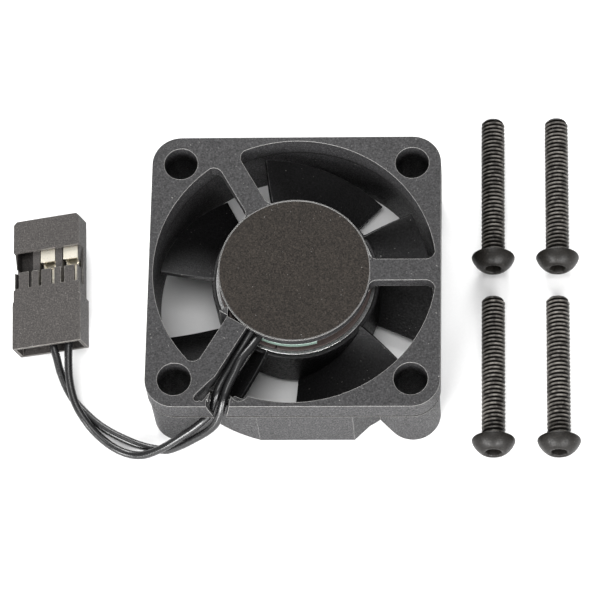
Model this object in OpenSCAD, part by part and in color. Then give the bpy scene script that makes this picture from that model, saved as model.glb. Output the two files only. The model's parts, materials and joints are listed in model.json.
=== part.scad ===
// 30 mm axial cooling fan for a speed controller, with its two-wire lead,
// three-way servo plug and four loose button-head screws.
// Origin: fan axis on the inlet face. +Z points to the outlet, strut side.

/* [Frame] */
// Side of the square frame
frame_w = 30; // [30:0.1:30.4]
// Height of the frame, inlet face to outlet face
frame_h = 10; // [10:0.1:10.4]
// Height of the square flange on the outlet side
flange_h = 3; // [2.8:0.1:3]
// Radius of the frame corners
corner_r = 3; // [2.8:0.1:3.2]
// Distance between neighbouring mounting holes
hole_pitch = 24; // [23.8:0.1:24.2]
// Diameter of a mounting hole
hole_d = 3.5; // [3:0.1:3.5]
// Radius of the round air duct
duct_r = 14.55; // [14.5:0.05:14.6]
// Width of the two plain struts
strut_w = 2.35; // [2:0.05:2.5]

/* [Motor] */
// Radius of the motor base disc
base_r = 7.85; // [7.8:0.05:8]
// Radius of the blank label
label_r = 7.7; // [7:0.1:7.7]
// Radius of the shaft
shaft_r = 0.75; // [0.7:0.01:0.75]
// Outer radius of the stator core
core_r = 6.4; // [6.2:0.1:6.5]
// Height of the stator core
core_h = 2.8; // [2.4:0.1:2.8]
// Width of a stator tooth
tooth_w = 2.2; // [1.8:0.1:2.2]

/* [Impeller] */
// Number of blades
blade_count = 5; // [4:1:6]
// Radius at the blade tips
blade_r = 14; // [13.6:0.1:14.1]
// Outer radius of the hub at its open rim
hub_r = 8.7; // [8.65:0.05:8.8]
// Angle that one blade covers round the hub
blade_span = 52; // [46:1:54]

/* [Lead] */
// Diameter of one insulated wire
wire_d = 0.84; // [0.7:0.01:0.84]
// Length of the plug
plug_l = 14.5; // [14:0.1:14.5]
// Width of the plug at its grip end
plug_w = 7.6; // [7.6:0.05:7.8]
// Thickness of the plug at its grip end
plug_t = 2.5; // [2.5:0.05:2.6]

/* [Screws] */
// Length of a screw under its head
screw_l = 16; // [12:1:16]
// Major radius of the screw thread
thread_r = 1.23; // [1.2:0.01:1.25]
// Radius of the button head
head_r = 2.25; // [2.2:0.05:2.35]
// Height of the button head
head_h = 1.5; // [1.3:0.1:1.5]

/* [Hidden] */
$fn = 64;
EPS = 0.01;
CUT = 0.1;             // how far a cutter runs past a face

half_w = frame_w / 2;
post_c = half_w - corner_r;
ring_r = duct_r + 0.75; // outside of the duct wall below the flange
step_in = 0.15;        // the walls below the flange stand back by this
low_w = half_w - step_in;
post_r = corner_r - step_in;
pad_x = 6;             // half length of a flat side landing
short_pad_x = 3.8;     // the landing beside the cable exit stops here
pad_rise = 3;          // how far the 45 degree landing ends run in

base_t = 1;            // motor base disc
label_t = 0.1;
base_z = frame_h - base_t;
strut_z = frame_h - 1.5;
fillet_r = 1;
bite = 0.05;           // fillets cut this far past tangent

// Cable channel beside the third strut, in that strut's own directions:
// x outward along the strut, y across it.
channel_a = 240;
channel_wall = [-3.3, -0.95];
channel_floor_y = 0.5;
pocket_y = 0.95;       // the pocket under the disc is wider
channel_floor_z = frame_h - 1.7;
channel_floor_t = 0.4;
crossing_z = frame_h - 2;
sill_r = duct_r + 0.4; // the wires drop over this edge
tab_z = frame_h - 1.3;

board_t = 0.6;
board_z = base_z - 0.9;
board_r = 7.4;
pad_r = 7.75;          // the board reaches further out at its wire pads
pad_a = [241, 288];

tube_r = 2.6;
bore_r = 2;
bearing_h = 2;
lower_z = 3.4;         // foot of the lower bearing
upper_z = 6.4;         // foot of the upper bearing
ball_r = 0.4;
ball_path_r = (shaft_r + bore_r) / 2;
ball_count = 7;
race_gap = 0.02;       // running clearance of a ball in its groove

hub_z = 0.5;
hub_floor_z = 1.3;
hub_rim_z = 7.2;
yoke_r = 8.25;
yoke_t = 0.4;
magnet_r = yoke_r - yoke_t;
magnet_t = 1.05;
magnet_z = [1.6, 7.4];
magnet_slit_a = 256;
bush_r = 1.9;
bush_z = 2.5;

core_z = 3.3;
core_hub_r = 3.9;
shoe_t = 0.7;
shoe_a = 35;
insulator_t = 0.3;
coil_side = 0.9;
coil_rise = 0.6;
// the coils stop short of the curved shoes
coil_r = [4, sqrt(pow(core_r - shoe_t, 2)
                  - pow(tooth_w / 2 + coil_side, 2)) - 0.05];

blade_low_z = 0.95;
blade_rise = 6.3;
blade_start = 54.5;    // low edge of the first blade
blade_sweep = [0.7, -2.4]; // turn of the blade at its root and its tip
BLADE_R_STEPS = 6;
BLADE_T_STEPS = 9;

pitch = 2.54;          // plug cavities
plug_yaw = 2.5;
plug_roll = 15;        // it leans on its left edge, held up by the wires
plug_at = [-25.75, 1.8];
grip_l = 5.3;
nose_w = plug_w - 0.2;
nose_z = 0.4;
cavity_w = 1.8;
cavity_z = [0.65, 2.15];
wire_z = 1.4;          // wire centre above the plug's back face

screw_x = [20.3, 27];
screw_y = [4.7, -15.7];
tip_h = 0.3;
screw_tilt = atan((head_r - thread_r) / (screw_l - tip_h));

// Route of each wire, from its solder pad through the channel and the
// frame's exit to the terminal in the plug.
WIRE_A = [
    [-2.8, -5.8, 9.12], [-3.6, -7.15, 9.15], [-4.4, -8.45, 9.4],
    [-5.3, -9.7, 9.5], [-5.9, -11.05, 9.3], [-6.5, -12.3, 9.05],
    [-6.9, -13.4, 8.7], [-7.2, -14.2, 8.05], [-7.5, -14.9, 7.2],
    [-8.0, -15.5, 6.3], [-8.9, -15.9, 5.3], [-10.3, -16.2, 4.0],
    [-11.8, -16.4, 2.6], [-13.3, -16.4, 1.3], [-14.8, -16.0, 0.65],
    [-16.4, -15.5, 0.45], [-18.0, -14.8, 0.45], [-19.5, -14.0, 0.45],
    [-20.8, -13.1, 0.45], [-22.0, -12.0, 0.45], [-23.1, -10.8, 0.45],
    [-24.0, -9.4, 0.7], [-24.7, -7.8, 1.4], [-25.1, -6.4, 2.05],
    [-25.4, -5.4, 2.35], [-25.7, -4.1, 2.4], [-25.93, -2.4, 2.34],
    [-26.01, -0.61, 2.34]
];
WIRE_B = [
    [-3.6, -5.3, 9.12], [-4.4, -6.7, 9.12], [-5.1, -7.9, 8.95],
    [-5.8, -9.1, 8.85], [-6.5, -10.5, 8.85], [-7.2, -11.8, 8.8],
    [-7.7, -12.9, 8.55], [-8.05, -13.7, 7.7], [-8.5, -14.4, 6.5],
    [-9.3, -15.0, 5.9], [-10.3, -15.5, 5.1], [-11.6, -16.0, 4.15],
    [-13.0, -16.5, 3.1], [-14.4, -16.8, 2.05], [-15.8, -16.9, 1.15],
    [-17.2, -16.6, 0.6], [-18.6, -16.0, 0.45], [-19.9, -15.1, 0.45],
    [-21.1, -14.0, 0.65], [-22.1, -12.8, 1.1], [-22.9, -11.5, 1.45],
    [-23.4, -10.1, 1.7], [-23.7, -8.6, 2.05], [-23.8, -7.0, 2.45],
    [-23.8, -5.4, 2.8], [-23.65, -4.1, 2.93], [-23.48, -2.3, 2.99],
    [-23.56, -0.51, 2.99]
];

// ---- shapes that repeat ----

module rounded_rect(w, h, r) {
    square([w - 2 * r, h], center = true);
    square([w, h - 2 * r], center = true);
    for (x = [-1, 1], y = [-1, 1])
        translate([x * (w / 2 - r), y * (h / 2 - r)]) circle(r);
}

module ring(r_out, r_in, z0, z1) {
    translate([0, 0, z0])
        linear_extrude(z1 - z0)
            difference() {
                circle(r_out);
                circle(r_in);
            }
}

module box(low, high) {
    translate(low) cube(high - low);
}

function unit(v) = v / norm(v);
function along(p, i) =
    unit(p[min(i + 1, len(p) - 1)] - p[max(i - 1, 0)]);
function ring_points(c, dir, r, sides) =
    let (side = unit(cross(dir, [0, 0, 1])), up = cross(side, dir))
    [for (k = [0 : sides - 1])
        c + r * (side * cos(360 * k / sides)
               + up * sin(360 * k / sides))];

// A round tube swept along a list of points
module swept(path, r, sides) {
    last = len(path) - 1;
    points = [for (i = [0 : last])
        each ring_points(path[i], along(path, i), r, sides)];
    skin = [for (i = [0 : last - 1], k = [0 : sides - 1])
        let (a = i * sides + k, b = i * sides + (k + 1) % sides)
        each [[a, b + sides, b], [a, a + sides, b + sides]]];
    near = [for (k = [0 : sides - 1]) k];
    far = [for (k = [sides - 1 : -1 : 0]) last * sides + k];
    polyhedron(points, concat(skin, [near, far]));
}

// ---- frame ----

module landing(left) {
    polygon([
        [-left, -low_w], [pad_x, -low_w],
        [pad_x + pad_rise, pad_rise - low_w],
        [-left - pad_rise, pad_rise - low_w]
    ]);
}

module lower_outline() {
    intersection() {
        circle(ring_r);
        square(2 * low_w, center = true);
    }
    landing(short_pad_x);
    for (a = [90, 180, 270]) rotate(a) landing(pad_x);
    for (a = [45 : 90 : 315]) rotate(a) {
        translate([post_c * sqrt(2), 0]) circle(post_r);
        translate([duct_r - 1, -post_r])
            square([post_c * sqrt(2) - duct_r + 1, 2 * post_r]);
    }
}

// Fillet where a strut edge at y meets the duct wall; s is the open side
module duct_fillet(y, s) {
    reach = duct_r - fillet_r + bite;
    c = [sqrt(pow(reach, 2) - pow(y + s * fillet_r, 2)),
         y + s * fillet_r];
    difference() {
        polygon([[c.x, y], [duct_r + 0.1, y],
                 c * (duct_r + 0.1) / reach, c]);
        translate(c) circle(fillet_r);
    }
}

// The same where the strut edge meets the motor base disc
module base_fillet(y, s) {
    reach = base_r + fillet_r - bite;
    c = [sqrt(pow(reach, 2) - pow(y + s * fillet_r, 2)),
         y + s * fillet_r];
    difference() {
        polygon([[c.x, y], [base_r - 0.06, y],
                 c * (base_r - 0.06) / reach, c]);
        translate(c) circle(fillet_r);
    }
}

module strut(edges, sides = [-1, 1]) {
    translate([base_r - 0.06, edges[0]])
        square([duct_r - base_r + 0.16, edges[1] - edges[0]]);
    for (s = sides) {
        duct_fillet(s > 0 ? edges[1] : edges[0], s);
        base_fillet(s > 0 ? edges[1] : edges[0], s);
    }
}

module motor_base() {
    difference() {
        translate([0, 0, base_z]) cylinder(r = base_r, h = base_t);
        translate([0, 0, frame_h - label_t])
            cylinder(r = label_r + 0.03, h = label_t + CUT);
        translate([0, 0, base_z - CUT]) cylinder(r = bore_r, h = 2);
        translate([0, 0, base_z - CUT])
            cylinder(r = tube_r, h = 0.5 + CUT);
        // room for the soldered wire ends
        rotate(channel_a)
            box([5.2, channel_wall[1], base_z - CUT],
                [base_r + CUT, pocket_y, frame_h - 0.4]);
    }
}

// Plan of the opening that leads the wires through the flange
module cable_way() {
    difference() {
        union() {
            polygon([
                [-5.7, -12.6], [-7, -10.9], [-8.6, -12.4],
                [-9.9, -13.75], [-9.2, -14.4], [-6.3, -14.4]
            ]);
            translate([-9.6, -14.05]) circle(0.36);
        }
        hook();
    }
}

// Small hook that keeps the wires in the opening
module hook() {
    polygon([[-9.15, -14.5], [-8.3, -13.4], [-8.6, -14.5]]);
}

module cable_exit_cuts() {
    translate([0, 0, crossing_z])
        linear_extrude(frame_h - crossing_z + CUT) cable_way();
    translate([0, 0, frame_h - flange_h - CUT])
        linear_extrude(tab_z - frame_h + flange_h + CUT)
            difference() {
                union() {
                    cable_way();
                    hook();
                    // more room where the lead turns down
                    translate([-9, -14.7]) square([1.6, 0.5]);
                }
                circle(sill_r);
            }
    // tapered mouth in the front wall
    translate([0, -14.2, 0])
        rotate([90, 0, 0])
            linear_extrude(half_w - 14.2 + CUT)
                polygon([[-8.7, frame_h + CUT], [-6.3, frame_h + CUT],
                         [-6.85, frame_h - flange_h - CUT],
                         [-8.05, frame_h - flange_h - CUT]]);
    // shallow scallop beside the channel
    translate([-5.3, -13.5, frame_h - 1.4])
        cylinder(r = 0.9, h = 1.4 + CUT);
}

module frame() {
    color([0.17, 0.17, 0.18]) {
        difference() {
            union() {
                linear_extrude(frame_h - flange_h) lower_outline();
                translate([0, 0, frame_h - flange_h])
                    linear_extrude(flange_h)
                        rounded_rect(frame_w, frame_w, corner_r);
            }
            translate([0, 0, -CUT])
                cylinder(r = duct_r, h = frame_h + 2 * CUT);
            for (x = [-1, 1], y = [-1, 1])
                translate([x, y, 0] * hole_pitch / 2 - [0, 0, CUT])
                    cylinder(d = hole_d, h = frame_h + 2 * CUT);
            cable_exit_cuts();
        }
        difference() {
            rotate(channel_a)
                translate([0, 0, channel_floor_z - channel_floor_t])
                    linear_extrude(frame_h - channel_floor_z
                                   + channel_floor_t)
                        strut(channel_wall, [-1]);
            cable_exit_cuts();
        }
        motor_base();
        for (a = [0, 120]) rotate(a)
            translate([0, 0, strut_z])
                linear_extrude(frame_h - strut_z)
                    strut([-strut_w / 2, strut_w / 2]);
        rotate(channel_a)
            box([base_r, channel_wall[1] - EPS,
                 channel_floor_z - channel_floor_t],
                [duct_r + 0.05, channel_floor_y, channel_floor_z]);
    }
}

module label() {
    color([0.24, 0.23, 0.21])
        translate([0, 0, frame_h - label_t])
            cylinder(r = label_r, h = label_t);
}

// ---- stator ----

module bearing_tube() {
    color([0.72, 0.58, 0.3]) {
        ring(tube_r, bore_r, 3.2, base_z + 0.5);
        ring(bore_r + EPS, 1.75, lower_z + bearing_h, upper_z);
    }
}

module core_plan() {
    difference() {
        union() {
            circle(core_hub_r);
            for (a = [0 : 90 : 270]) rotate(a) {
                translate([0, -tooth_w / 2])
                    square([core_r - shoe_t / 2, tooth_w]);
                intersection() {
                    difference() {
                        circle(core_r);
                        circle(core_r - shoe_t);
                    }
                    polygon([[0, 0],
                             2 * core_r * [cos(shoe_a), -sin(shoe_a)],
                             2 * core_r * [cos(shoe_a), sin(shoe_a)]]);
                }
            }
        }
        circle(tube_r);
    }
}

module stator_core() {
    color([0.55, 0.56, 0.58])
        translate([0, 0, core_z]) linear_extrude(core_h) core_plan();
}

// Moulded cover on one end of the core, with walls that hold the coils
module insulator() {
    linear_extrude(insulator_t) core_plan();
    ring(core_hub_r, core_hub_r - 0.3, 0, insulator_t + coil_rise);
    linear_extrude(insulator_t + coil_rise)
        intersection() {
            core_plan();
            difference() {
                circle(core_r - shoe_t + 0.35);
                circle(core_r - shoe_t);
            }
        }
}

module upper_insulator() {
    color([0.85, 0.83, 0.75])
        translate([0, 0, core_z + core_h]) insulator();
}

module lower_insulator() {
    color([0.85, 0.83, 0.75])
        translate([0, 0, core_z]) mirror([0, 0, 1]) insulator();
}

module coil(i) {
    in_h = core_h + 2 * insulator_t;
    color([0.72, 0.36, 0.16])
        rotate(90 * (i - 1))
            translate([coil_r[0], 0, core_z + core_h / 2])
                rotate([90, 0, 90])
                    linear_extrude(coil_r[1] - coil_r[0])
                        difference() {
                            rounded_rect(tooth_w + 2 * coil_side,
                                         in_h + 2 * coil_rise, 0.5);
                            square([tooth_w, in_h], center = true);
                        }
}

module circuit_board() {
    mid = (pad_a[0] + pad_a[1]) / 2;
    reach = 2 * pad_r * tan((pad_a[1] - pad_a[0]) / 2);
    color([0.1, 0.35, 0.2])
        translate([0, 0, board_z])
            linear_extrude(board_t)
                difference() {
                    union() {
                        circle(board_r);
                        intersection() {
                            circle(pad_r);
                            rotate(mid)
                                polygon([[0, 0], [2 * pad_r, -reach],
                                         [2 * pad_r, reach]]);
                        }
                    }
                    circle(tube_r + 0.05);
                }
}

module driver_chip() {
    color([0.08, 0.08, 0.08])
        rotate(45)
            translate([4.6, 0, board_z - 0.35])
                cube([1.6, 2.9, 0.7], center = true);
}

module hall_sensor() {
    color([0.08, 0.08, 0.08])
        rotate(135)
            translate([5.2, 0, board_z - 0.3])
                cube([1.3, 2.1, 0.6], center = true);
}

module chip_capacitors() {
    color([0.66, 0.55, 0.4])
        for (a = [218, 232]) rotate(a)
            translate([4.8, 0, board_z - 0.2])
                cube([1.6, 0.8, 0.4], center = true);
}

module solder_joints() {
    color([0.8, 0.82, 0.84])
        for (p = [WIRE_A[0], WIRE_B[0]])
            difference() {
                translate([p.x, p.y, board_z + board_t])
                    rotate(channel_a)
                        translate([-0.62, 0, 0])
                            intersection() {
                                sphere(r = 0.42, $fn = 32);
                                cylinder(r = 0.42, h = 0.42, $fn = 32);
                            }
            }
}

// ---- bearings ----

module race_groove() {
    translate([ball_path_r, bearing_h / 2])
        circle(r = ball_r + race_gap, $fn = 48);
}

module outer_race(z) {
    color([0.7, 0.71, 0.73])
        translate([0, 0, z])
            rotate_extrude()
                difference() {
                    translate([bore_r - 0.35, 0])
                        square([0.35, bearing_h]);
                    race_groove();
                }
}

module inner_race(z) {
    color([0.7, 0.71, 0.73])
        translate([0, 0, z])
            rotate_extrude()
                difference() {
                    translate([shaft_r, 0]) square([0.35, bearing_h]);
                    race_groove();
                }
}

module ball_set(z) {
    color([0.85, 0.86, 0.88])
        for (i = [0 : ball_count - 1])
            rotate(360 * i / ball_count)
                translate([ball_path_r, 0, z + bearing_h / 2])
                    sphere(r = ball_r, $fn = 32);
}

// ---- rotor ----

// Height and slope of the blade surface at t, from low edge to high edge
function blade_z(t) = blade_low_z + blade_rise * (0.8 * t + 0.2 * t * t);
function blade_slope(t) = blade_rise * (0.8 + 0.4 * t);
function blade_half_t(t) = 0.2 + 0.13 * sin(180 * t);
// A point of the blade at radius r, on its upper (s = 1) or lower face
function blade_point(r, t, s) =
    let (run = r * blade_span * PI / 180,
         slope = blade_slope(t),
         size = norm([run, slope]),
         off = s * blade_half_t(t),
         u = (r - hub_r) / (blade_r - hub_r),
         a = blade_start + blade_span * t
             + blade_sweep[0] * (1 - u) + blade_sweep[1] * u
             - off * slope / size / r * 180 / PI)
    [r * cos(a), r * sin(a), blade_z(t) + off * run / size];

module blade() {
    count = 2 * (BLADE_T_STEPS + 1);
    root_r = yoke_r + 0.15;
    points = [for (i = [0 : BLADE_R_STEPS])
        let (r = root_r + (blade_r - root_r) * i / BLADE_R_STEPS)
        each concat(
            [for (j = [0 : BLADE_T_STEPS])
                blade_point(r, j / BLADE_T_STEPS, 1)],
            [for (j = [BLADE_T_STEPS : -1 : 0])
                blade_point(r, j / BLADE_T_STEPS, -1)])];
    skin = [for (i = [0 : BLADE_R_STEPS - 1], j = [0 : count - 1])
        let (a = i * count + j, b = i * count + (j + 1) % count)
        each [[a, b, b + count], [a, b + count, a + count]]];
    ends = [for (e = [0, 1], j = [0 : BLADE_T_STEPS - 1])
        let (o = e * BLADE_R_STEPS * count,
             a = o + j, b = o + j + 1,
             c = o + count - 2 - j, d = o + count - 1 - j)
        each e == 0 ? [[a, c, b], [a, d, c]] : [[a, b, c], [a, c, d]]];
    polyhedron(points, concat(skin, ends));
}

module hub_profile() {
    difference() {
        polygon([[0, hub_z], [hub_r - 0.5, hub_z], [hub_r - 0.2, hub_z + 0.3],
                 [hub_r, hub_rim_z], [0, hub_rim_z]]);
        translate([0, hub_floor_z])
            square([yoke_r, hub_rim_z]);
    }
    translate([bush_r, hub_floor_z - EPS])
        square([0.7, bush_z - hub_floor_z - 0.2]);
}

module impeller() {
    color([0.11, 0.11, 0.12]) {
        rotate_extrude() hub_profile();
        for (i = [0 : blade_count - 1])
            rotate(360 * i / blade_count) blade();
    }
}

module rotor_yoke() {
    color([0.6, 0.6, 0.62]) {
        ring(yoke_r, magnet_r, hub_floor_z, hub_rim_z + 0.1);
        ring(magnet_r + EPS, 6, hub_floor_z, magnet_z[0]);
    }
}

module magnet_ring() {
    color([0.28, 0.24, 0.23])
        difference() {
            ring(magnet_r, magnet_r - magnet_t, magnet_z[0], magnet_z[1]);
            rotate(magnet_slit_a)
                box([magnet_r - magnet_t - CUT, -0.06, magnet_z[0] - CUT],
                    [magnet_r + CUT, 0.06, magnet_z[1] + CUT]);
        }
}

module shaft() {
    color([0.75, 0.76, 0.78])
        difference() {
            translate([0, 0, hub_floor_z]) cylinder(r = shaft_r, h = 7.9);
            ring(shaft_r + CUT, 0.6, 8.5, 8.8);
        }
}

module shaft_bush() {
    color([0.75, 0.6, 0.3]) ring(bush_r, shaft_r, hub_floor_z, bush_z);
}

module preload_spring() {
    wire_r = 0.12;
    turns = 3;
    low = bush_z + wire_r;
    rise = lower_z - bush_z - 2 * wire_r;
    color([0.7, 0.72, 0.74])
        swept([for (i = [0 : 14 * turns])
            let (a = 360 * i / 14)
            [1.05 * cos(a), 1.05 * sin(a), low + rise * i / (14 * turns)]],
            wire_r - 0.01, 8);
}

module retaining_ring() {
    color([0.3, 0.3, 0.32])
        difference() {
            ring(1.4, 0.6, 8.5, 8.8);
            box([0, -0.35, 8], [2, 0.35, 9]);
        }
}

// ---- lead and plug ----

module in_plug_place() {
    translate([plug_at.x, plug_at.y, plug_w / 2 * sin(plug_roll)])
        rotate([0, -plug_roll, plug_yaw])
            children();
}

module plug_housing() {
    front = plug_l / 2;
    window = [1.35, 3.65];
    tab_foot = -0.45;
    grip_y = grip_l - front;
    color([0.2, 0.2, 0.21])
        in_plug_place()
            difference() {
                union() {
                    box([-nose_w / 2, grip_y - EPS, nose_z],
                        [nose_w / 2, front, plug_t]);
                    box([-plug_w / 2, -front, 0],
                        [plug_w / 2, grip_y, plug_t]);
                }
                // front corners
                for (s = [-1, 1])
                    translate([s * nose_w / 2, front, plug_t / 2])
                        rotate(45) cube([0.5, 0.5, 4], center = true);
                // window across the face
                box([-plug_w, window[0], cavity_z[1] - EPS],
                    [plug_w, window[1], plug_t + CUT]);
                // sides drawn in beside the window and the tabs
                for (s = [-1, 1])
                    translate([0, 0, 1.3])
                        linear_extrude(plug_t)
                            polygon([[s * (nose_w / 2 + CUT), window[1]],
                                     [s * (nose_w / 2 - 0.06), window[1]],
                                     [s * (nose_w / 2 - 0.3), 1.5],
                                     [s * (nose_w / 2 - 0.14), 1.2],
                                     [s * (nose_w / 2 - 0.14), -0.6],
                                     [s * (nose_w / 2 + CUT), -0.6]]);
                // open end where the wires go in
                box([0.35 - plug_w / 2, -front - CUT, 0.35],
                    [plug_w / 2 - 0.35, 1.1 - front, plug_t - 0.3]);
                for (c = [-pitch, 0, pitch]) {
                    // cavity, open at the grip end
                    box([c - cavity_w / 2, -front - CUT, cavity_z[0]],
                        [c + cavity_w / 2, front - 0.65, cavity_z[1]]);
                    // hole for the mating pin
                    box([c - 0.45, front - 1, wire_z - 0.45],
                        [c + 0.45, front + CUT, wire_z + 0.45]);
                    // slots either side of the locking tab
                    for (s = [-1, 1])
                        box([c + s * 0.725 - 0.175, tab_foot,
                             cavity_z[1] - CUT],
                            [c + s * 0.725 + 0.175, window[0] + CUT,
                             plug_t + CUT]);
                }
            }
}

// Folded crimp contact in the cavity at x = c
module terminal(c) {
    color([0.86, 0.68, 0.3])
        in_plug_place()
            translate([c, 0, 0]) {
                difference() {
                    box([-0.8, 2.3, 0.75], [0.8, 6.4, 2.05]);
                    box([-0.6, 2, 0.95], [0.6, 7, 1.85]);
                }
                difference() {
                    box([-0.7, -0.9, 0.75], [0.7, 2.3 + EPS, 1.4]);
                    box([-0.5, -1, 0.95], [0.5, 2.31, 2]);
                }
                translate([0, -0.8, wire_z]) rotate([90, 0, 0])
                    cylinder(r = 0.55, h = 1.6);
                translate([0, -2.9, wire_z]) rotate([90, 0, 0])
                    linear_extrude(1.2)
                        difference() {
                            circle(r = 0.6);
                            circle(r = wire_d / 2);
                        }
                box([-0.4, -2.9, 0.8], [0.4, -2.4, 0.95]);
            }
}

// ---- screws ----

module head_profile() {
    intersection() {
        translate([0, -0.543]) circle(r = 2.37);
        square([head_r, head_h]);
    }
}

module mounting_screw(x, y) {
    color([0.16, 0.15, 0.15])
        translate([x, y, head_r * cos(screw_tilt)])
            rotate([-90 - screw_tilt, 0, 0]) {
                cylinder(r = thread_r, h = screw_l - tip_h);
                translate([0, 0, screw_l - tip_h])
                    cylinder(r1 = thread_r, r2 = thread_r - tip_h,
                             h = tip_h);
                mirror([0, 0, 1])
                    difference() {
                        rotate_extrude() head_profile();
                        translate([0, 0, head_h - 0.9])
                            cylinder(d = 1.5 / cos(30), h = 1, $fn = 6);
                    }
            }
}

// ---- the pieces ----

frame();
label();
bearing_tube();
stator_core();
upper_insulator();
lower_insulator();
for (i = [1 : 4])
    coil(i);
circuit_board();
driver_chip();
hall_sensor();
chip_capacitors();
solder_joints();
outer_race(upper_z);  // upper_bearing_outer_ring
outer_race(lower_z);  // lower_bearing_outer_ring
inner_race(upper_z);  // upper_bearing_inner_ring
inner_race(lower_z);  // lower_bearing_inner_ring
ball_set(upper_z);  // upper_bearing_balls
ball_set(lower_z);  // lower_bearing_balls
impeller();
rotor_yoke();
magnet_ring();
shaft();
shaft_bush();
preload_spring();
retaining_ring();
color([0.1, 0.1, 0.11]) swept(WIRE_A, wire_d / 2, 8);  // positive_wire
color([0.1, 0.1, 0.11]) swept(WIRE_B, wire_d / 2, 8);  // negative_wire
plug_housing();
terminal(0);  // positive_terminal
terminal(pitch);  // negative_terminal
for (i = [0 : 3])
    mounting_screw(screw_x[i % 2], screw_y[floor(i / 2)]);
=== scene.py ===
"""Looks for a 30 mm cooling fan with its servo lead and four loose screws.

Lengths are written in millimetres and turned to metres by MM.
"""
import json
import math

import bmesh
import bpy
from mathutils import Matrix, Vector
from mathutils.bvhtree import BVHTree
from mathutils.geometry import intersect_point_line


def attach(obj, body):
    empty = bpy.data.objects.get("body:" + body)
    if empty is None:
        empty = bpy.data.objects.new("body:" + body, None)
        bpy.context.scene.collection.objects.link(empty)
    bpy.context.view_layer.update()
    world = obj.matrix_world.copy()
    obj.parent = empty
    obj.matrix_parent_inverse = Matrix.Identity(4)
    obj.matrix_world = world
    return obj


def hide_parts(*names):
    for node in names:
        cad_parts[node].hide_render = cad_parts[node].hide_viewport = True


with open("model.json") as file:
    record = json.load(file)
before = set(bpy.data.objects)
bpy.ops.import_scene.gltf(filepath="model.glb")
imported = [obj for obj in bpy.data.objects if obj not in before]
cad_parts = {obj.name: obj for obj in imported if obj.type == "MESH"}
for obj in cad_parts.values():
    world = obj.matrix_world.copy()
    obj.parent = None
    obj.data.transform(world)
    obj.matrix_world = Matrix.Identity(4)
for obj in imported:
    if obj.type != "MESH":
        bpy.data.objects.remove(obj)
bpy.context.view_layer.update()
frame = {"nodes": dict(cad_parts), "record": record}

MM = 0.001
NODES = frame["nodes"]
BODY_OF = {
    node: body
    for body, nodes in frame["record"]["behaviour"]["bodies"].items()
    for node in nodes
}


# ---- camera, lights and floor ----

CAMERA_AT = Vector((22.7, -150.7, 361.0)) * MM
CAMERA_LENS = 224.2  # mm on a 36 mm sensor
CAMERA_ELEVATION = math.radians(67.0)
CAMERA_AZIMUTH = math.radians(8.51)
CAMERA_ROLL = math.radians(-8.09)

# name: (place, width, height, power in watts); each faces AIM
LIGHTS = {
    "overhead": ((-30, -60, 620), 330, 330, 1.7),
    "front_left": ((-260, -470, 200), 380, 200, 6.5),
    "front_right": ((240, -480, 190), 340, 200, 5.0),
    "back": ((-60, 500, 330), 460, 260, 5.5),
}
AIM = Vector((0, 0, 4)) * MM
WORLD_STRENGTH = 0.5
FLOOR_HALF = 2000


def add_camera():
    az, el = CAMERA_AZIMUTH, CAMERA_ELEVATION
    ahead = Vector((-math.sin(az) * math.cos(el),
                    math.cos(az) * math.cos(el), -math.sin(el)))
    level = Vector((math.cos(az), math.sin(az), 0))
    up = level.cross(ahead)
    cos, sin = math.cos(CAMERA_ROLL), math.sin(CAMERA_ROLL)
    across = cos * level + sin * up
    above = -sin * level + cos * up
    data = bpy.data.cameras.new("camera")
    data.lens = CAMERA_LENS
    data.sensor_width = 36
    data.clip_start = 0.01
    data.clip_end = 10
    camera = bpy.data.objects.new("camera", data)
    bpy.context.collection.objects.link(camera)
    turn = Matrix((across, above, -ahead)).transposed().to_4x4()
    camera.matrix_world = Matrix.Translation(CAMERA_AT) @ turn
    bpy.context.scene.camera = camera


def add_lights():
    for name, (at, width, height, power) in LIGHTS.items():
        data = bpy.data.lights.new(name, "AREA")
        data.shape = "RECTANGLE"
        data.size = width * MM
        data.size_y = height * MM
        data.energy = power
        lamp = bpy.data.objects.new(name, data)
        bpy.context.collection.objects.link(lamp)
        lamp.location = Vector(at) * MM
        lamp.rotation_euler = (AIM - lamp.location).to_track_quat(
            "-Z", "Y").to_euler()
    world = bpy.data.worlds.new("studio")
    world.use_nodes = True
    shade = world.node_tree.nodes["Background"]
    shade.inputs["Color"].default_value = (1, 1, 1, 1)
    shade.inputs["Strength"].default_value = WORLD_STRENGTH
    bpy.context.scene.world = world
    bpy.context.scene.view_settings.view_transform = "Standard"


# ---- materials ----

# Sockets of a Mix node that mixes colours
MIX_FACTOR, MIX_A, MIX_B, MIX_RESULT = 0, 6, 7, 2

# Colour of sparse light specks: painted glints on the grain
PAINTED_GLINT = (0.45, 0.44, 0.42)
SEAM_PAINTED_SHADE = (0.15, 0.14, 0.13)  # how dark the painted shade in the parting line's groove is

# Parting line round the flange: height of its middle, and how far its
# edges and its floor reach above and below that
SEAM_Z = 7.25
SEAM_EDGE, SEAM_FLOOR = 0.11, 0.07


def connect(tree, start, end):
    tree.links.new(start, end)


def noise(tree, coords, size, detail=2.0):
    """Noise whose features are about size mm across."""
    node = tree.nodes.new("ShaderNodeTexNoise")
    node.inputs["Scale"].default_value = 1 / (size * MM)
    node.inputs["Detail"].default_value = detail
    connect(tree, coords, node.inputs["Vector"])
    return node.outputs["Fac"]


def ramp(tree, value, stops):
    """Maps a 0 to 1 value through (position, colour or grey) stops."""
    node = tree.nodes.new("ShaderNodeValToRGB")
    points = node.color_ramp.elements
    while len(points) < len(stops):
        points.new(0.5)
    for point, (at, colour) in zip(points, stops):
        point.position = at
        if isinstance(colour, (int, float)):
            colour = (colour,) * 3
        point.color = (*colour, 1)
    connect(tree, value, node.inputs["Fac"])
    return node.outputs["Color"]


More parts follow.
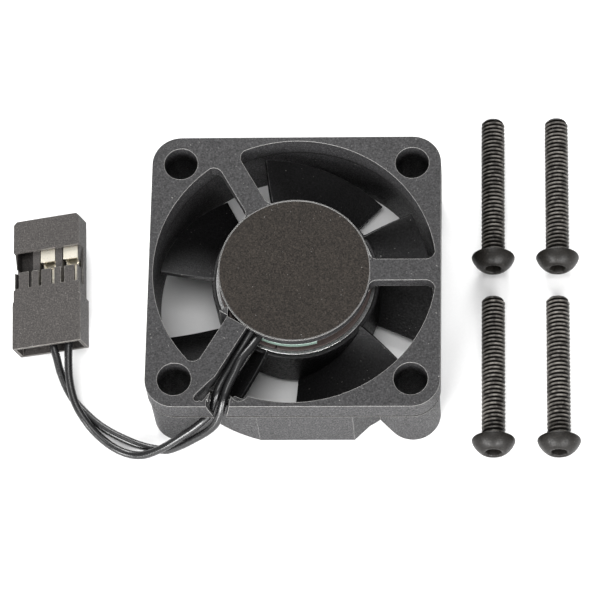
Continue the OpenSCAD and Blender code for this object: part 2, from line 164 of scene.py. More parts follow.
def mixed(tree, kind, factor, a, b):
    """Mixes two colours; factor, a and b are sockets or values."""
    node = tree.nodes.new("ShaderNodeMix")
    node.data_type = "RGBA"
    node.blend_type = kind
    for index, value in ((MIX_FACTOR, factor), (MIX_A, a), (MIX_B, b)):
        socket = node.inputs[index]
        if isinstance(value, bpy.types.NodeSocket):
            connect(tree, value, socket)
        elif index == MIX_FACTOR:
            socket.default_value = value
        else:
            socket.default_value = (*value, 1)
    return node.outputs[MIX_RESULT]


def painted_seam_shade_mask(tree, place):
    """1 within about 0.1 mm of the parting line's height, otherwise 0."""
    parts = tree.nodes.new("ShaderNodeSeparateXYZ")
    connect(tree, place, parts.inputs["Vector"])
    spread = tree.nodes.new("ShaderNodeMapRange")
    for name, value in (("From Min", SEAM_Z - 1), ("From Max", SEAM_Z + 1)):
        spread.inputs[name].default_value = value * MM
    connect(tree, parts.outputs["Z"], spread.inputs["Value"])
    return ramp(tree, spread.outputs["Result"],
                [(0.42, 0.0), (0.44, 1.0), (0.55, 1.0), (0.57, 0.0)])


def marked_edges(tree, place, speckle):
    """A patchy mask of the edges that the mesh marks as "edge"."""
    edge = tree.nodes.new("ShaderNodeAttribute")
    edge.attribute_name = "edge"
    patchy = ramp(tree, noise(tree, place, 4 * speckle),
                  [(0.35, 0.2), (0.65, 1.0)])
    return mixed(tree, "MULTIPLY", 1.0, edge.outputs["Color"], patchy)


def eased_edges(tree, radius):
    """A normal that rounds edges by radius mm, and a mask of them."""
    eased = tree.nodes.new("ShaderNodeBevel")
    eased.samples = 6
    eased.inputs["Radius"].default_value = radius * MM
    facing = tree.nodes.new("ShaderNodeVectorMath")
    facing.operation = "DOT_PRODUCT"
    plain = tree.nodes.new("ShaderNodeNewGeometry")
    connect(tree, eased.outputs["Normal"], facing.inputs[0])
    connect(tree, plain.outputs["Normal"], facing.inputs[1])
    mask = ramp(tree, facing.outputs["Value"], [(0.86, 1.0), (0.99, 0.0)])
    return eased.outputs["Normal"], mask


def surface(name, colour, rough, metallic=0.0, specular=0.5, speckle=0.1,
            contrast=0.25, rough_spread=0.1, bump=4.0, edge_wear_and_highlight=None, rim=None,
            coat=0.0, specks=0.0, seam=False, layers=(),
            stretch=(1, 1, 1)):
    """A moulded, coated or metal surface.

    speckle is the grain's size in mm, contrast how far its colour
    swings, and bump its depth in micrometres. edge_wear_and_highlight
    is the colour of edges, partly rubbed wear and partly a painted
    highlight: the edges that the mesh marks, or, where rim is given,
    the edges that the shader rounds by that radius in mm. specks is
    the strength of sparse light specks painted as glints. seam paints
    shade along the parting line's groove. layers are (size in mm, depth
    in micrometres) of coarser unevenness.
    """
    made = bpy.data.materials.new(name)
    made.use_nodes = True
    tree = made.node_tree
    shader = tree.nodes["Principled BSDF"]
    place = tree.nodes.new("ShaderNodeTexCoord").outputs["Object"]
    if stretch != (1, 1, 1):
        mapping = tree.nodes.new("ShaderNodeMapping")
        mapping.inputs["Scale"].default_value = stretch
        connect(tree, place, mapping.inputs["Vector"])
        place = mapping.outputs["Vector"]

    grain = noise(tree, place, speckle, 3.0)
    dark = [c * (1 - contrast) for c in colour]
    light = [min(1, c * (1 + 1.6 * contrast)) for c in colour]
    tint = ramp(tree, grain, [(0.3, dark), (0.55, colour), (0.75, light)])
    cloud = noise(tree, place, 60 * speckle, 2.0)
    tint = mixed(tree, "MULTIPLY", 0.5, tint,
                 ramp(tree, cloud, [(0.3, 0.8), (0.7, 1.0)]))
    normal = None
    # Rounded edges get a lighter colour: partly rubbed wear, partly a painted
    # highlight.
    if rim:
        normal, mask = eased_edges(tree, rim)
        tint = mixed(tree, "MIX", mask, tint, edge_wear_and_highlight)
    elif edge_wear_and_highlight:
        mask = marked_edges(tree, place, speckle)
        tint = mixed(tree, "MIX", mask, tint, edge_wear_and_highlight)
    # Sparse light specks: painted glints
    if specks:
        dots = ramp(tree, noise(tree, place, 1.4 * speckle, 1.0),
                    [(0.75, 0.0), (0.8, specks)])
        tint = mixed(tree, "MIX", dots, tint, PAINTED_GLINT)
    # Painted shade along the parting line's groove
    if seam:
        tint = mixed(tree, "MULTIPLY", painted_seam_shade_mask(tree, place), tint,
                     SEAM_PAINTED_SHADE)
    connect(tree, tint, shader.inputs["Base Color"])

    rough_low = max(0.02, rough - rough_spread)
    rough_high = min(1.0, rough + rough_spread)
    connect(tree, ramp(tree, grain, [(0.3, rough_high), (0.7, rough_low)]),
            shader.inputs["Roughness"])
    shader.inputs["Metallic"].default_value = metallic
    shader.inputs["Specular IOR Level"].default_value = specular
    shader.inputs["Coat Weight"].default_value = coat
    shader.inputs["Coat Roughness"].default_value = 0.2
    for size, depth in [(speckle, bump), *layers]:
        node = tree.nodes.new("ShaderNodeBump")
        node.inputs["Distance"].default_value = depth * 1e-6
        connect(tree, noise(tree, place, size, 3.0), node.inputs["Height"])
        if normal is not None:
            connect(tree, normal, node.inputs["Normal"])
        normal = node.outputs["Normal"]
    connect(tree, normal, shader.inputs["Normal"])
    return made


# What surface() takes for each of the record's slots
LOOKS = {
    "fan_plastic": dict(
        colour=(0.021, 0.0205, 0.0214), rough=0.5, speckle=0.16,
        contrast=0.8, bump=28, specular=0.26, specks=0.35,
        rough_spread=0.16, edge_wear_and_highlight=(0.3, 0.295, 0.285), rim=0.1, seam=True,
        layers=[(0.5, 10)]),
    "impeller_plastic": dict(
        colour=(0.0055, 0.0053, 0.0057), rough=0.48, speckle=0.19,
        contrast=0.9, bump=50, specular=0.25, specks=0.3,
        rough_spread=0.18, edge_wear_and_highlight=(0.09, 0.09, 0.09), layers=[(0.7, 8)]),
    "label_film": dict(
        colour=(0.016, 0.013, 0.0105), rough=0.58, speckle=0.14,
        contrast=0.75, bump=22, specular=0.12, specks=0.4,
        rough_spread=0.14, edge_wear_and_highlight=(0.12, 0.115, 0.11), layers=[(1.5, 4)]),
    "tube_brass": dict(
        colour=(0.62, 0.44, 0.18), rough=0.3, metallic=1.0, speckle=0.05,
        bump=1, stretch=(1, 1, 12)),
    "lamination_steel": dict(
        colour=(0.33, 0.33, 0.35), rough=0.42, metallic=1.0, speckle=0.35,
        contrast=0.4, bump=12, stretch=(0.05, 0.05, 3)),
    "insulator_plastic": dict(
        colour=(0.62, 0.58, 0.46), rough=0.5, speckle=0.15, contrast=0.08,
        bump=3, layers=[(0.8, 6)]),
    "coil_enamel": dict(
        colour=(0.5, 0.17, 0.05), rough=0.28, metallic=0.6, speckle=0.12,
        contrast=0.5, bump=14, coat=0.6, stretch=(1, 1, 8)),
    # Its light edge colour is a painted highlight on the board's rims
    "circuit_board": dict(
        colour=(0.1, 0.15, 0.125), rough=0.42, speckle=0.08,
        contrast=0.35, bump=4, coat=0.3, edge_wear_and_highlight=(0.5, 0.64, 0.56),
        layers=[(0.4, 6)]),
    "chip_plastic": dict(
        colour=(0.02, 0.02, 0.02), rough=0.6, speckle=0.04, bump=3),
    "capacitor_ceramic": dict(
        colour=(0.42, 0.3, 0.18), rough=0.5, speckle=0.05, bump=2),
    "solder": dict(
        colour=(0.72, 0.72, 0.74), rough=0.25, metallic=1.0, speckle=0.2,
        bump=6),
    "bearing_steel": dict(
        colour=(0.6, 0.61, 0.63), rough=0.2, metallic=1.0, speckle=0.05,
        bump=0.6, stretch=(1, 1, 10)),
    "ball_steel": dict(
        colour=(0.75, 0.76, 0.78), rough=0.08, metallic=1.0, speckle=0.1,
        contrast=0.05, rough_spread=0.03, bump=0.2),
    # Its light edge colour is a painted highlight on the ring's rims
    "yoke_steel": dict(
        colour=(0.3, 0.3, 0.3), rough=0.36, metallic=1.0, speckle=0.16,
        contrast=0.6, bump=9, edge_wear_and_highlight=(0.9, 0.9, 0.88), layers=[(1.2, 3)]),
    "magnet_rubber": dict(
        colour=(0.05, 0.036, 0.033), rough=0.5, speckle=0.07,
        contrast=0.4, bump=6, layers=[(0.4, 6)]),
    "shaft_steel": dict(
        colour=(0.66, 0.67, 0.7), rough=0.16, metallic=1.0, speckle=0.05,
        bump=0.5, stretch=(1, 1, 14)),
    "spring_steel": dict(
        colour=(0.55, 0.56, 0.6), rough=0.25, metallic=1.0, speckle=0.05,
        bump=1),
    "ring_steel": dict(
        colour=(0.12, 0.12, 0.14), rough=0.35, metallic=1.0, speckle=0.06,
        bump=1.5),
    "wire_insulation": dict(
        colour=(0.006, 0.006, 0.0064), rough=0.28, speckle=0.16,
        contrast=0.4, bump=4, specular=0.48, layers=[(1.2, 12)]),
    "plug_plastic": dict(
        colour=(0.04, 0.0365, 0.0345), rough=0.48, speckle=0.14,
        contrast=0.6, bump=20, specular=0.3, specks=0.25,
        edge_wear_and_highlight=(0.2, 0.19, 0.17), layers=[(0.6, 8)]),
    "contact_gold": dict(
        colour=(1.0, 0.94, 0.8), rough=0.36, metallic=1.0, speckle=0.1,
        contrast=0.1, bump=2, layers=[(0.4, 10)]),
    "black_oxide": dict(
        colour=(0.0095, 0.0085, 0.0075), rough=0.4, speckle=0.14,
        contrast=0.7, bump=14, specular=0.17, specks=0.2,
        edge_wear_and_highlight=(0.125, 0.117, 0.106), layers=[(0.5, 5)]),
}
MATERIALS = {name: surface(name, **look) for name, look in LOOKS.items()}
FLOOR_LOOK = dict(colour=(0.86, 0.86, 0.86), rough=0.8, speckle=0.3,
                  contrast=0.01, bump=1, specular=0.1)


# ---- meshes ----

# Material index that marks the faces of a rounded edge while it is made
ROUNDED = 1
ROUNDING_TRIES = 8
FOLD_MIN = 0.03  # mm; folds smaller than this are left
FOLD_REACH = 0.5  # mm; edges this near a fold are rounded less
SAME_PLANE = 0.99999  # least cosine between two faces of one flat
FLAT_ANGLE = math.radians(0.6)
SHARP_ANGLE = math.radians(35)

# Flange: half its side and the radius of its corners
FLANGE_HALF, FLANGE_CORNER = 15, 3
SEAM_DEPTH = 0.12


def finish_piece(piece, node, slot_name):
    """Puts a piece in the place of its CAD node."""
    piece.data.materials.clear()
    piece.data.materials.append(MATERIALS[slot_name])
    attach(piece, BODY_OF[node])
    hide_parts(node)


def new_piece(name, mesh):
    piece = bpy.data.objects.new(name, mesh)
    bpy.context.collection.objects.link(piece)
    return piece


def cleaned_copy(node):
    """A CAD node's mesh with its seams merged and a fresh net on its
    flat faces."""
    mesh = NODES[node].data.copy()
    bm = bmesh.new()
    bm.from_mesh(mesh)
    bmesh.ops.remove_doubles(bm, verts=bm.verts, dist=1e-7)
    bmesh.ops.dissolve_limit(
        bm, angle_limit=FLAT_ANGLE, verts=bm.verts, edges=bm.edges,
        use_dissolve_boundaries=False)
    bmesh.ops.triangulate(bm, faces=bm.faces, ngon_method="BEAUTY")
    bm.to_mesh(mesh)
    bm.free()
    if "custom_normal" in mesh.attributes:
        mesh.attributes.remove(mesh.attributes["custom_normal"])
    return mesh


def flat_areas(faces, rounded):
    """For each face, a number for the flat region that it is part of,
    and each region's area."""
    region, areas = {}, []
    for face in faces:
        if face in region:
            continue
        region[face] = len(areas)
        area, front = 0, [face]
        while front:
            at = front.pop()
            area += at.calc_area()
            for edge in at.edges:
                for near in edge.link_faces:
                    if (near not in region
                            and rounded[near] == rounded[at]
                            and near.normal.dot(at.normal) > SAME_PLANE):
                        region[near] = region[face]
                        front.append(near)
        areas.append(area)
    return region, areas


def even_shading(mesh):
    """Sets a mesh's normals so that flat faces stay flat and rounded
    edges blend from one face to the next, and marks the middle of each
    rounded edge in the attribute "edge"."""
    bm = bmesh.new()
    bm.from_mesh(mesh)
    bm.normal_update()
    rounded = {f: f.material_index == ROUNDED for f in bm.faces}
    region, areas = flat_areas(bm.faces, rounded)
    least = math.cos(SHARP_ANGLE)
    middle = [float(all(rounded[f] for f in vert.link_faces))
              for vert in bm.verts]
    normals = []
    for face in bm.faces:
        for vert in face.verts:
            near = vert.link_faces
            plain = [f for f in near if not rounded[f]]
            seen, total = set(), Vector()
            if rounded[face] and plain:
                best = max(plain, key=lambda f: f.normal.dot(face.normal))
            else:
                best = face
            for f in near:
                if (region[f] in seen or rounded[f] != rounded[best]
                        or (not rounded[f]
                            and f.normal.dot(best.normal) < least)):
                    continue
                seen.add(region[f])
                total += f.normal * areas[region[f]]
            normals.append((total or face.normal).normalized())
    bm.free()
    for face in mesh.polygons:
        face.use_smooth = True
        face.material_index = 0
    mesh.normals_split_custom_set(normals)
    edge = mesh.attributes.new("edge", "FLOAT", "POINT")
    edge.data.foreach_set("value", middle)


def cut_seam(mesh):
    """Sinks the parting line into the flange's outer wall."""
    bm = bmesh.new()
    bm.from_mesh(mesh)
    floor_z = [SEAM_Z - SEAM_FLOOR, SEAM_Z + SEAM_FLOOR]
    for z in (SEAM_Z - SEAM_EDGE, SEAM_Z + SEAM_EDGE, *floor_z):
        bmesh.ops.bisect_plane(
            bm, geom=[*bm.verts, *bm.edges, *bm.faces], dist=1e-9,
            plane_co=(0, 0, z * MM), plane_no=(0, 0, 1))
    straight = (FLANGE_HALF - FLANGE_CORNER) * MM
    outside = (FLANGE_CORNER - 0.02) * MM
    for vert in bm.verts:
        if not any(abs(vert.co.z - z * MM) < 1e-8 for z in floor_z):
            continue
        start = Vector([max(-straight, min(straight, c))
                        for c in vert.co.xy])
        out = vert.co.xy - start
        if out.length > outside:
            inner = out * (1 - SEAM_DEPTH * MM / out.length)
            vert.co.xy = start + inner
    bm.to_mesh(mesh)
    bm.free()


def folded_spots(made, tree):
    """Where rounding has turned a face over, against the mesh before."""
    made.calc_loop_triangles()
    spots = []
    for face in made.loop_triangles:
        rounded = made.polygons[face.polygon_index].material_index
        if rounded or face.area < (FOLD_MIN * MM) ** 2 / 2:
            continue
        centre = sum((made.vertices[i].co for i in face.vertices),
                     Vector()) / 3
        _, normal, _, off = tree.find_nearest(centre)
        if off < FOLD_MIN * MM and normal.dot(face.normal) < 0.5:
            spots.append(centre)
    return spots


def near_spots(a, b, spots):
    """Whether any spot is near the line from a to b."""
    for spot in spots:
        at, share = intersect_point_line(spot, a, b)
        at = a if share < 0 else b if share > 1 else at
        if (spot - at).length < FOLD_REACH * MM:
            return True
    return False


def rounded_mesh(mesh, width, angle=32, clamp=False):
    """The mesh with its edges rounded by width mm, or by less where
    there is no room for that. angle is the least, in degrees, that an
    edge turns by."""
    mesh.materials.clear()
    for _ in range(ROUNDED + 1):
        mesh.materials.append(None)
    mesh.polygons.foreach_set(
        "material_index", [0] * len(mesh.polygons))
    bm = bmesh.new()
    bm.from_mesh(mesh)
    tree = BVHTree.FromBMesh(bm)
    weights = [float(e.calc_face_angle(0) > math.radians(angle))
               for e in bm.edges]
    bm.free()
    weight = mesh.attributes.new("bevel_weight_edge", "FLOAT", "EDGE")
    piece = new_piece("rounding", mesh)
    edge = piece.modifiers.new("rounded_edges", "BEVEL")
    edge.width = width * MM
    edge.segments = 2
    edge.limit_method = "WEIGHT"
    edge.use_clamp_overlap = clamp
    edge.material = ROUNDED
    places = [v.co for v in mesh.vertices]
    for _ in range(ROUNDING_TRIES):
        weight.data.foreach_set("value", weights)
        mesh.update_tag()
        shape = piece.evaluated_get(
            bpy.context.evaluated_depsgraph_get())
        made = bpy.data.meshes.new_from_object(shape)
        spots = folded_spots(made, tree)
        if not spots:
            break
        for line in mesh.edges:
            a, b = (places[i] for i in line.vertices)
            if weights[line.index] and near_spots(a, b, spots):
                weights[line.index] *= 0.5
    bpy.data.objects.remove(piece)
    even_shading(made)
    return made


def dressed(node, name, slot_name, width, clamp=False):
    """A copy of a CAD node's shape with rounded edges."""
    made = rounded_mesh(cleaned_copy(node), width, clamp=clamp)
    made.name = name
    piece = new_piece(name, made)
    finish_piece(piece, node, slot_name)
    return piece


def mesh_of(name, points, faces):
    """A mesh from points in mm, with outward faces."""
    mesh = bpy.data.meshes.new(name)
    mesh.from_pydata([Vector(p) * MM for p in points], [], faces)
    bm = bmesh.new()
    bm.from_mesh(mesh)
    bmesh.ops.remove_doubles(bm, verts=bm.verts, dist=1e-7)
    bmesh.ops.dissolve_degenerate(bm, edges=bm.edges, dist=1e-7)
    bmesh.ops.recalc_face_normals(bm, faces=bm.faces)
    bm.to_mesh(mesh)
    bm.free()
    return mesh


def lofted(rings):
    """Points and faces of a skin over rings of equal length; a ring of
    one point closes an end."""
    points, faces, starts = [], [], []
    for ring in rings:
        starts.append(len(points))
        points += ring
    for i in range(len(rings) - 1):
        a, b = rings[i], rings[i + 1]
        n = max(len(a), len(b))
        for k in range(n):
            k2 = (k + 1) % n
            corners = []
            for start, ring, order in ((starts[i], a, (k, k2)),
                                       (starts[i + 1], b, (k2, k))):
                if len(ring) == 1:
                    corners.append(start)
                else:
                    corners += [start + j for j in order]
            faces.append(corners)
    return points, faces


def circle_points(radius, z, count):
    """Points of a ring; radius is a number or a function of angle."""
    ring = []
    for k in range(count):
        angle = 2 * math.pi * k / count
        r = radius(angle) if callable(radius) else radius
        ring.append((r * math.cos(angle), r * math.sin(angle), z))
    return ring


def lathed(profile, count):
    """Rings for a profile of (radius, z); radius 0 closes an end."""
    return [[(0, 0, z)] if r == 0 else circle_points(r, z, count)
            for r, z in profile]


def joined(shapes):
    """Several (points, faces) as one."""
    points, faces = [], []
    for more_points, more_faces in shapes:
        start = len(points)
        points += more_points
        faces += [[start + i for i in face] for face in more_faces]
    return points, faces


# ---- frame ----

def make_frame():
    """The frame keeps its CAD surface. Its short edges leave no room for
    rounding, so its material rounds them."""
    mesh = cleaned_copy("frame")
    cut_seam(mesh)
    even_shading(mesh)
    mesh.name = "frame_moulding"
    finish_piece(new_piece("frame_moulding", mesh), "frame", "fan_plastic")


# ---- impeller ----

BLADES = 5
BLADE_INNER_R, BLADE_TIP_R = 8.4, 14.0
BLADE_LOW, BLADE_RISE = 0.95, 6.3
BLADE_START, BLADE_SPAN = 54.5, 52  # degrees
BLADE_SWEEP = (0.7, -2.4)  # degrees that the hub and tip ends turn on
BLADE_LINEAR, BLADE_CURVE = 0.8, 0.2  # the rise steepens to the top
BLADE_EDGE_T, BLADE_SWELL = 0.2, 0.13  # half its thickness
BLADE_STEPS_R, BLADE_STEPS_T = 10, 24
HUB_R = 8.7
HUB_SIDES = 96
# (radius, z) from the closed face, up the outside, round the open rim,
# down inside to the floor and the boss round the shaft's bush
HUB_PROFILE = [
    (0, 0.5), (2.0, 0.5), (2.1, 0.56), (7.9, 0.56), (8.0, 0.5),
    (8.25, 0.52), (8.45, 0.62), (8.53, 0.85), (8.66, 6.9),
    (8.64, 7.13), (8.56, 7.2), (8.34, 7.2), (8.26, 7.14),
    (8.26, 1.3), (2.6, 1.3), (2.6, 2.3), (1.9, 2.3),
    (1.9, 1.28), (0, 1.28)]


def blade_point(r, t, side):
    """A point of a blade's upper (1) or lower (-1) face."""
    run = math.radians(BLADE_SPAN) * r
    slope = BLADE_RISE * (BLADE_LINEAR + 2 * BLADE_CURVE * t)
    size = math.hypot(run, slope)
    off = side * (BLADE_EDGE_T + BLADE_SWELL * math.sin(math.pi * t))
    u = (r - HUB_R) / (BLADE_TIP_R - HUB_R)
    sweep = BLADE_SWEEP[0] * (1 - u) + BLADE_SWEEP[1] * u
    angle = (math.radians(BLADE_START + BLADE_SPAN * t + sweep)
             - off * slope / size / r)
    z = BLADE_LOW + BLADE_RISE * (BLADE_LINEAR * t + BLADE_CURVE * t * t)
    return (r * math.cos(angle), r * math.sin(angle),
            z + off * run / size)


def blade(turn):
    rings = []
    for i in range(BLADE_STEPS_R + 1):
        r = (BLADE_INNER_R
             + (BLADE_TIP_R - BLADE_INNER_R) * i / BLADE_STEPS_R)
        ring = [blade_point(r, j / BLADE_STEPS_T, 1)
                for j in range(BLADE_STEPS_T + 1)]
        ring += [blade_point(r, j / BLADE_STEPS_T, -1)
                 for j in range(BLADE_STEPS_T, -1, -1)]
        rings.append(ring)
    points, faces = lofted(rings)
    count = len(rings[0])
    for start in (0, BLADE_STEPS_R * count):
        for j in range(BLADE_STEPS_T):
            faces.append([start + j, start + j + 1,
                          start + count - 2 - j, start + count - 1 - j])
    spin = Matrix.Rotation(turn, 3, "Z")
    return [tuple(spin @ Vector(p)) for p in points], faces


def make_impeller():
    hub = lofted(lathed(HUB_PROFILE, HUB_SIDES))
    blades = [blade(2 * math.pi * i / BLADES) for i in range(BLADES)]
    mesh = mesh_of("impeller_moulding", *joined([hub, *blades]))
    piece = new_piece("impeller_moulding",
                      rounded_mesh(mesh, 0.05, angle=50, clamp=True))
    finish_piece(piece, "impeller", "impeller_plastic")


# ---- screws ----

SCREW_X, SCREW_Y = (20.3, 27), (4.7, -15.7)
SCREW_LENGTH = 16
SCREW_TURN = 17  # degrees from each screw to the next
THREAD_R, THREAD_ROOT, THREAD_PITCH = 1.23, 0.96, 0.45
THREAD_SIDES = 40
# Height of the thread along one pitch, from root (0) to crest (1)
THREAD_SHAPE = (0.0, 0.0, 0.45, 0.9, 1.0, 1.0, 0.55, 0.1)
THREAD_ROWS = len(THREAD_SHAPE)
CREST_BAND = 0.06  # depth of the crest band painted lighter: rubbed oxide and a painted highlight
TIP, TIP_SLOPE = 0.3, 0.9
SHANK_START = -0.2  # inside the head
HEAD_R, HEAD_H = 2.25, 1.5
HEAD_SIDES = 72
DOME_R, DOME_Z = 2.37, -0.543  # radius and centre of the dome's arc
DOME_LOW, DOME_HIGH, DOME_STEPS = 0.24, HEAD_H - 0.06, 12
SOCKET = 1.5  # across flats
SOCKET_CHAMFER = 0.14
SCREW_TILT = math.atan((HEAD_R - THREAD_R) / (SCREW_LENGTH - TIP))


def thread_radius(row):
    """Radius of the thread at a row of its net."""
    return (THREAD_ROOT + (THREAD_R - THREAD_ROOT)
            * THREAD_SHAPE[row % THREAD_ROWS])


def threaded_shank():
    """Points and faces of a shank with its thread, along +Z."""
    rows = int((SCREW_LENGTH / THREAD_PITCH + 1) * THREAD_ROWS)
    step = THREAD_PITCH / THREAD_ROWS
    points, faces = [], []
    for j in range(rows + 1):
        for k in range(THREAD_SIDES):
            z = (j * step + THREAD_PITCH * (k / THREAD_SIDES - 1))
            # the thread runs out at the tip
            r = min(thread_radius(j), THREAD_R - TIP * TIP_SLOPE
                    + max(0, SCREW_LENGTH - z) * TIP_SLOPE)
            z = min(max(z, SHANK_START), SCREW_LENGTH)
            a = 2 * math.pi * k / THREAD_SIDES
            points.append((r * math.cos(a), r * math.sin(a), z))
    for j in range(rows):
        for k in range(THREAD_SIDES):
            near, far = j * THREAD_SIDES + k, (j + 1) * THREAD_SIDES + k
            if k < THREAD_SIDES - 1:
                faces.append([near, near + 1, far + 1, far])
            elif j + THREAD_ROWS + 1 <= rows:
                # one turn on, the net has climbed by one pitch
                a = (j + THREAD_ROWS) * THREAD_SIDES
                faces.append([near, a, a + THREAD_SIDES, far])
    first, last = len(points), len(points) + 1
    points += [(0, 0, SHANK_START), (0, 0, SCREW_LENGTH)]
    for k in range(THREAD_SIDES - 1):
        faces.append([k, first, k + 1])
        a = rows * THREAD_SIDES + k
        faces.append([a, a + 1, last])
    for j in range(THREAD_ROWS):
        a = j * THREAD_SIDES
        faces.append([a + THREAD_SIDES, first, a])
        b = (rows - THREAD_ROWS + j) * THREAD_SIDES + THREAD_SIDES - 1
        faces.append([b, last, b + THREAD_SIDES])
    faces.append([THREAD_SIDES - 1, first, THREAD_ROWS * THREAD_SIDES])
    faces.append([(rows - THREAD_ROWS + 1) * THREAD_SIDES - 1,
                  rows * THREAD_SIDES, last])
    return points, faces


def hex_radius(flats, sharp):
    """Outline of a hexagon; sharp below 1 eases its corners."""
    def radius(angle):
        off = (angle + math.pi / 6) % (math.pi / 3) - math.pi / 6
        return min(flats / 2 / math.cos(off),
                   flats / math.sqrt(3) * sharp)
    return radius


def button_head():
    """Head with its hexagon socket; it points to -Z."""
    profile = [(0, 0), (THREAD_R, 0), (HEAD_R - 0.12, 0),
               (HEAD_R - 0.03, 0.04), (HEAD_R, 0.12)]
    for i in range(DOME_STEPS + 1):
        z = DOME_LOW + (DOME_HIGH - DOME_LOW) * i / DOME_STEPS
        profile.append((math.sqrt(DOME_R ** 2 - (z - DOME_Z) ** 2), z))
    profile += [(1.17, HEAD_H - 0.015), (1.12, HEAD_H), (1.0, HEAD_H)]
    rings = lathed(profile, HEAD_SIDES)
    mouth = hex_radius(SOCKET + SOCKET_CHAMFER, 1.0)
    walls = hex_radius(SOCKET, 0.97)
    rings += [circle_points(r, HEAD_H - depth, HEAD_SIDES)
              for r, depth in ((0.92, 0.03), (mouth, 0.07), (walls, 0.16),
                               (walls, 0.9), (0.62, 0.92))]
    rings.append([(0, 0, HEAD_H - 1.05)])
    points, faces = lofted(rings)
    return [(x, y, -z) for x, y, z in points], faces


def make_screws():
    mesh = mesh_of("screw", *joined([threaded_shank(), button_head()]))
    # Thread crests take the lighter edge colour: rubbed oxide and a painted
    # highlight
    crest = (THREAD_R - CREST_BAND) * MM
    edge = mesh.attributes.new("edge", "FLOAT", "POINT")
    edge.data.foreach_set("value", [
        float(v.co.z > 0 and math.hypot(v.co.x, v.co.y) > crest)
        for v in mesh.vertices])
    turn = Matrix.Rotation(-math.pi / 2 - SCREW_TILT, 4, "X")
    for i in range(4):
        x, y = SCREW_X[i % 2], SCREW_Y[i // 2]
        piece = new_piece(f"button_head_screw_{i + 1}", mesh.copy())
        spin = Matrix.Rotation(math.radians(SCREW_TURN * i), 4, "Z")
        place = Matrix.Translation(
            Vector((x, y, HEAD_R * math.cos(SCREW_TILT))) * MM)
        piece.data.transform(place @ turn @ spin)
        for face in piece.data.polygons:
            face.use_smooth = True
        piece.data.set_sharp_from_angle(angle=math.radians(38))
        finish_piece(piece, f"mounting_screw_{i + 1}", "black_oxide")


# ---- lead ----

WIRE_D = 0.84
# The same routes as in the part's source
WIRE_A = [
    (-2.8, -5.8, 9.12), (-3.6, -7.15, 9.15), (-4.4, -8.45, 9.4),
    (-5.3, -9.7, 9.5), (-5.9, -11.05, 9.3), (-6.5, -12.3, 9.05),
    (-6.9, -13.4, 8.7), (-7.2, -14.2, 8.05), (-7.5, -14.9, 7.2),
    (-8.0, -15.5, 6.3), (-8.9, -15.9, 5.3), (-10.3, -16.2, 4.0),
    (-11.8, -16.4, 2.6), (-13.3, -16.4, 1.3), (-14.8, -16.0, 0.65),
    (-16.4, -15.5, 0.45), (-18.0, -14.8, 0.45), (-19.5, -14.0, 0.45),
    (-20.8, -13.1, 0.45), (-22.0, -12.0, 0.45), (-23.1, -10.8, 0.45),
    (-24.0, -9.4, 0.7), (-24.7, -7.8, 1.4), (-25.1, -6.4, 2.05),
    (-25.4, -5.4, 2.35), (-25.7, -4.1, 2.4), (-25.93, -2.4, 2.34),
    (-26.01, -0.61, 2.34),
]
WIRE_B = [
    (-3.6, -5.3, 9.12), (-4.4, -6.7, 9.12), (-5.1, -7.9, 8.95),
    (-5.8, -9.1, 8.85), (-6.5, -10.5, 8.85), (-7.2, -11.8, 8.8),
    (-7.7, -12.9, 8.55), (-8.05, -13.7, 7.7), (-8.5, -14.4, 6.5),
    (-9.3, -15.0, 5.9), (-10.3, -15.5, 5.1), (-11.6, -16.0, 4.15),
    (-13.0, -16.5, 3.1), (-14.4, -16.8, 2.05), (-15.8, -16.9, 1.15),
    (-17.2, -16.6, 0.6), (-18.6, -16.0, 0.45), (-19.9, -15.1, 0.45),
    (-21.1, -14.0, 0.65), (-22.1, -12.8, 1.1), (-22.9, -11.5, 1.45),
    (-23.4, -10.1, 1.7), (-23.7, -8.6, 2.05), (-23.8, -7.0, 2.45),
    (-23.8, -5.4, 2.8), (-23.65, -4.1, 2.93), (-23.48, -2.3, 2.99),
    (-23.56, -0.51, 2.99),
]


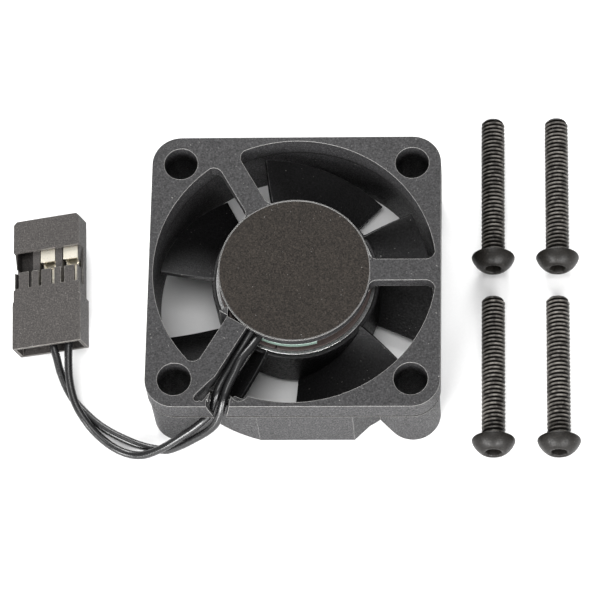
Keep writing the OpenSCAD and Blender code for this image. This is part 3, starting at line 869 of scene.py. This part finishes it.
def rounded_route(route, parts=6):
    """A smooth Catmull-Rom line through the route's points."""
    line = []
    ends = [route[0], *route, route[-1]]
    for i in range(1, len(ends) - 2):
        p0, p1, p2, p3 = (Vector(p) for p in ends[i - 1:i + 3])
        for k in range(parts):
            t = k / parts
            line.append(0.5 * (
                2 * p1 + (p2 - p0) * t
                + (2 * p0 - 5 * p1 + 4 * p2 - p3) * t * t
                + (3 * p1 - p0 - 3 * p2 + p3) * t * t * t))
    line.append(Vector(route[-1]))
    return line


def make_wire(name, node, route):
    data = bpy.data.curves.new(name, "CURVE")
    data.dimensions = "3D"
    data.bevel_depth = WIRE_D / 2 * MM
    data.bevel_resolution = 6
    data.use_fill_caps = True
    line = rounded_route(route)
    spline = data.splines.new("POLY")
    spline.points.add(len(line) - 1)
    for point, at in zip(spline.points, line):
        point.co = (*(at * MM), 1)
    spline.use_smooth = True
    wire = new_piece(name, data)
    finish_piece(wire, node, "wire_insulation")


# ---- the scene ----

def make_floor():
    half = FLOOR_HALF * MM
    mesh = bpy.data.meshes.new("floor")
    mesh.from_pydata([(-half, -half, 0), (half, -half, 0),
                      (half, half, 0), (-half, half, 0)],
                     [], [(0, 1, 2, 3)])
    floor = new_piece("floor", mesh)
    mesh.materials.append(surface("floor_paper", **FLOOR_LOOK))


add_camera()
add_lights()
make_floor()

# CAD nodes that keep their own shape
for obj in NODES.values():
    for slot in obj.material_slots:
        slot.material = MATERIALS[slot.material.name.split(".")[0]]

make_frame()
dressed("label", "blank_label", "label_film", 0.03)
dressed("rotor_yoke", "yoke_ring", "yoke_steel", 0.06)
dressed("magnet_ring", "magnet_strip", "magnet_rubber", 0.06)
dressed("circuit_board", "board_ring", "circuit_board", 0.04)
plug = dressed("plug_housing", "plug_shell", "plug_plastic", 0.06)
contacts = [
    dressed("positive_terminal", "positive_contact", "contact_gold",
            0.02, clamp=True),
    dressed("negative_terminal", "negative_contact", "contact_gold",
            0.02, clamp=True)]
make_impeller()
make_screws()
make_wire("positive_lead", "positive_wire", WIRE_A)
make_wire("negative_lead", "negative_wire", WIRE_B)
